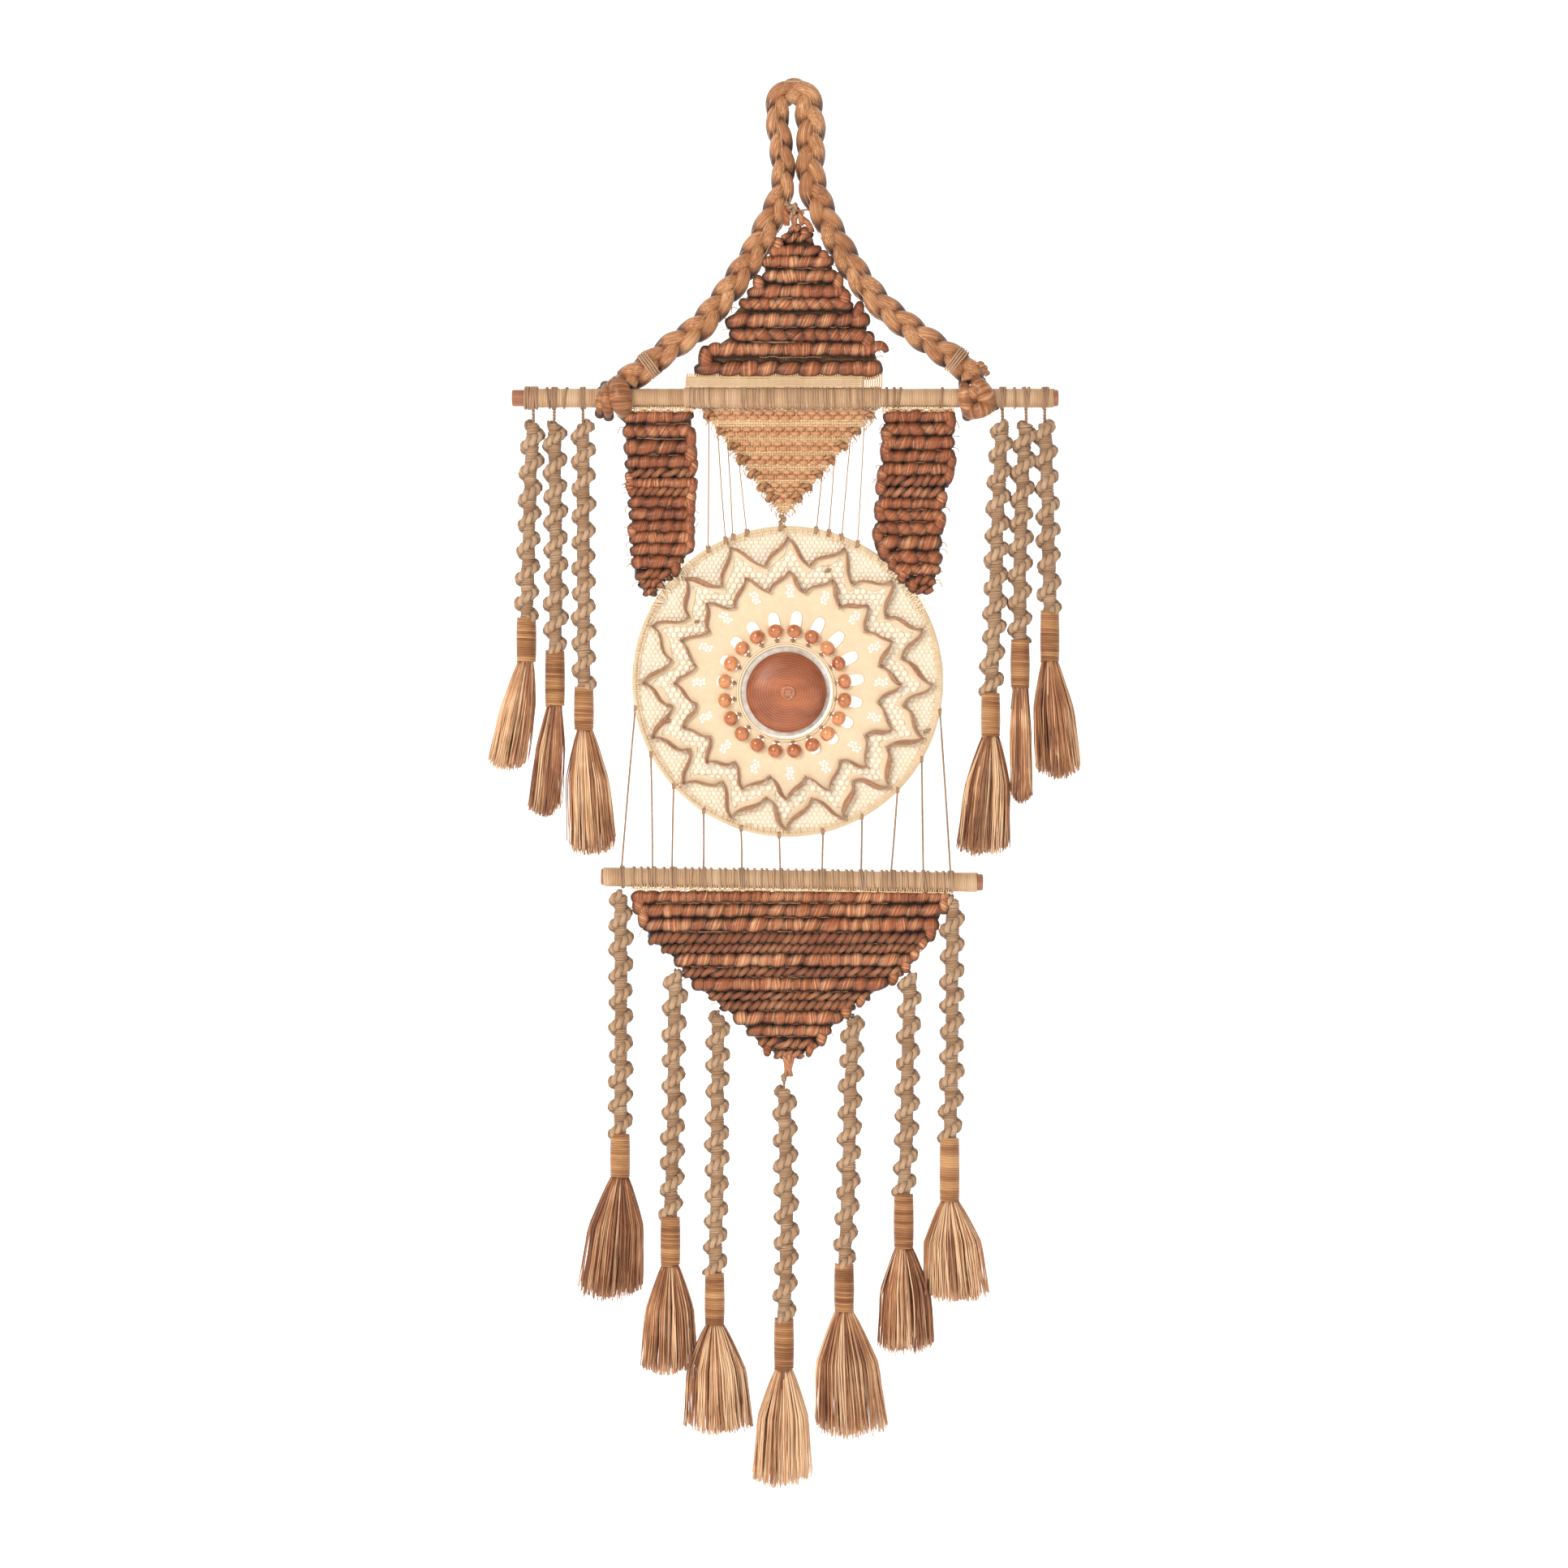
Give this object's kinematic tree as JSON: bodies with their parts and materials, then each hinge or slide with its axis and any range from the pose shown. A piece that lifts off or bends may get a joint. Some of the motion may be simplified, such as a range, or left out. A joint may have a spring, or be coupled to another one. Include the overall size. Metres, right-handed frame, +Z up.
{
  "type": "dream catcher",
  "caption": "Wall-hung woven dream catcher: braided loop, two wrapped rods, lace hoop with wooden boss and beads, coil-woven panels and knotted drops with tassels.",
  "frame": {"origin": "inside top of the braided hanging loop, where a hook holds it", "axes": "+Z up, +X to the viewer's right, the front with the lace and beads faces -Y"},
  "size_m": [0.4589, 0.038, 1.0879],
  "materials": {
    "braid_fibre": "silky twisted sisal",
    "coil_fibre": "silky dark sisal coils",
    "dowel": "stained dowel",
    "wound_yarn": "fine wound yarn",
    "plain_cloth": "open plain weave",
    "lace": "cream bobbin lace",
    "ribbon": "raffia ribbon on edge",
    "seat": "clear disc",
    "turned_wood": "waxed turned wood",
    "bead_wood": "polished beads",
    "string": "twisted string",
    "jute": "knotted jute",
    "tassel_fibre": "loose sisal"
  },
  "bodies": {
    "hanger": {"hanging_braid": "braid_fibre", "left_knot": "braid_fibre", "right_knot": "braid_fibre", "top_rod": "dowel", "top_rod_wrap": "wound_yarn", "upper_weave": "coil_fibre"},
    "hoop": {"hoop_ring": "wound_yarn", "lace_disc": "lace", "outer_zigzag": "ribbon", "inner_zigzag": "ribbon", "boss_seat": "seat", "centre_boss": "turned_wood", "bead_garland": "bead_wood", "left_panel": "coil_fibre", "right_panel": "coil_fibre", "plain_weave": "plain_cloth"},
    "lower_bar": {"lower_rod": "dowel", "lower_rod_wrap": "wound_yarn", "lower_weave": "coil_fibre", "lower_string_01": "string", "lower_string_02": "string", "lower_string_03": "string", "lower_string_04": "string", "lower_string_05": "string", "lower_string_06": "string", "lower_string_07": "string", "lower_string_08": "string", "lower_string_09": "string", "lower_string_10": "string", "lower_string_11": "string"},
    "drop_a": {"drop_a_sinnet": "jute", "drop_a_tassel": "tassel_fibre"},
    "drop_b": {"drop_b_sinnet": "jute", "drop_b_tassel": "tassel_fibre"},
    "drop_c": {"drop_c_sinnet": "jute", "drop_c_tassel": "tassel_fibre"},
    "drop_d": {"drop_d_sinnet": "jute", "drop_d_tassel": "tassel_fibre"},
    "drop_e": {"drop_e_sinnet": "jute", "drop_e_tassel": "tassel_fibre"},
    "drop_f": {"drop_f_sinnet": "jute", "drop_f_tassel": "tassel_fibre"},
    "drop_g": {"drop_g_sinnet": "jute", "drop_g_tassel": "tassel_fibre"},
    "drop_h": {"drop_h_sinnet": "jute", "drop_h_tassel": "tassel_fibre"},
    "drop_i": {"drop_i_sinnet": "jute", "drop_i_tassel": "tassel_fibre"},
    "drop_j": {"drop_j_sinnet": "jute", "drop_j_tassel": "tassel_fibre"},
    "drop_k": {"drop_k_sinnet": "jute", "drop_k_tassel": "tassel_fibre"},
    "drop_l": {"drop_l_sinnet": "jute", "drop_l_tassel": "tassel_fibre"},
    "drop_m": {"drop_m_sinnet": "jute", "drop_m_tassel": "tassel_fibre"}
  },
  "joints": [
    {"name": "hoop_swing", "type": "hinge", "parent": "hanger", "child": "hoop", "pos_m": [0, 0, -0.2377], "axis": [-1, 0, 0], "range_deg": [-10, 25]},
    {"name": "lower_bar_swing", "type": "hinge", "parent": "hoop", "child": "lower_bar", "pos_m": [0, 0, -0.567], "axis": [-1, 0, 0], "range_deg": [-30, 30]},
    {"name": "drop_a_swing", "type": "hinge", "parent": "hanger", "child": "drop_a", "pos_m": [-0.2003, 0, -0.2377], "axis": [-1, 0, 0], "range_deg": [-30, 70]},
    {"name": "drop_b_swing", "type": "hinge", "parent": "hanger", "child": "drop_b", "pos_m": [-0.1841, 0, -0.2377], "axis": [-1, 0, 0], "range_deg": [-30, 70]},
    {"name": "drop_c_swing", "type": "hinge", "parent": "hanger", "child": "drop_c", "pos_m": [-0.162, 0, -0.2377], "axis": [-1, 0, 0], "range_deg": [-30, 70]},
    {"name": "drop_d_swing", "type": "hinge", "parent": "hanger", "child": "drop_d", "pos_m": [0.1609, 0, -0.2377], "axis": [-1, 0, 0], "range_deg": [-30, 70]},
    {"name": "drop_e_swing", "type": "hinge", "parent": "hanger", "child": "drop_e", "pos_m": [0.1791, 0, -0.2377], "axis": [-1, 0, 0], "range_deg": [-30, 70]},
    {"name": "drop_f_swing", "type": "hinge", "parent": "hanger", "child": "drop_f", "pos_m": [0.1936, 0, -0.2377], "axis": [-1, 0, 0], "range_deg": [-30, 70]},
    {"name": "drop_g_swing", "type": "hinge", "parent": "lower_bar", "child": "drop_g", "pos_m": [-0.1329, 0, -0.60655], "axis": [-1, 0, 0], "range_deg": [-30, 60]},
    {"name": "drop_h_swing", "type": "hinge", "parent": "lower_bar", "child": "drop_h", "pos_m": [-0.0909, 0, -0.6675], "axis": [-1, 0, 0], "range_deg": [-30, 60]},
    {"name": "drop_i_swing", "type": "hinge", "parent": "lower_bar", "child": "drop_i", "pos_m": [-0.0578, 0, -0.6995], "axis": [-1, 0, 0], "range_deg": [-30, 60]},
    {"name": "drop_j_swing", "type": "hinge", "parent": "lower_bar", "child": "drop_j", "pos_m": [-0.0072, 0, -0.742], "axis": [-1, 0, 0], "range_deg": [-30, 60]},
    {"name": "drop_k_swing", "type": "hinge", "parent": "lower_bar", "child": "drop_k", "pos_m": [0.0459, 0, -0.7025], "axis": [-1, 0, 0], "range_deg": [-30, 60]},
    {"name": "drop_l_swing", "type": "hinge", "parent": "lower_bar", "child": "drop_l", "pos_m": [0.0897, 0, -0.6695], "axis": [-1, 0, 0], "range_deg": [-30, 60]},
    {"name": "drop_m_swing", "type": "hinge", "parent": "lower_bar", "child": "drop_m", "pos_m": [0.1225, 0, -0.61033], "axis": [-1, 0, 0], "range_deg": [-30, 60]}
  ]
}
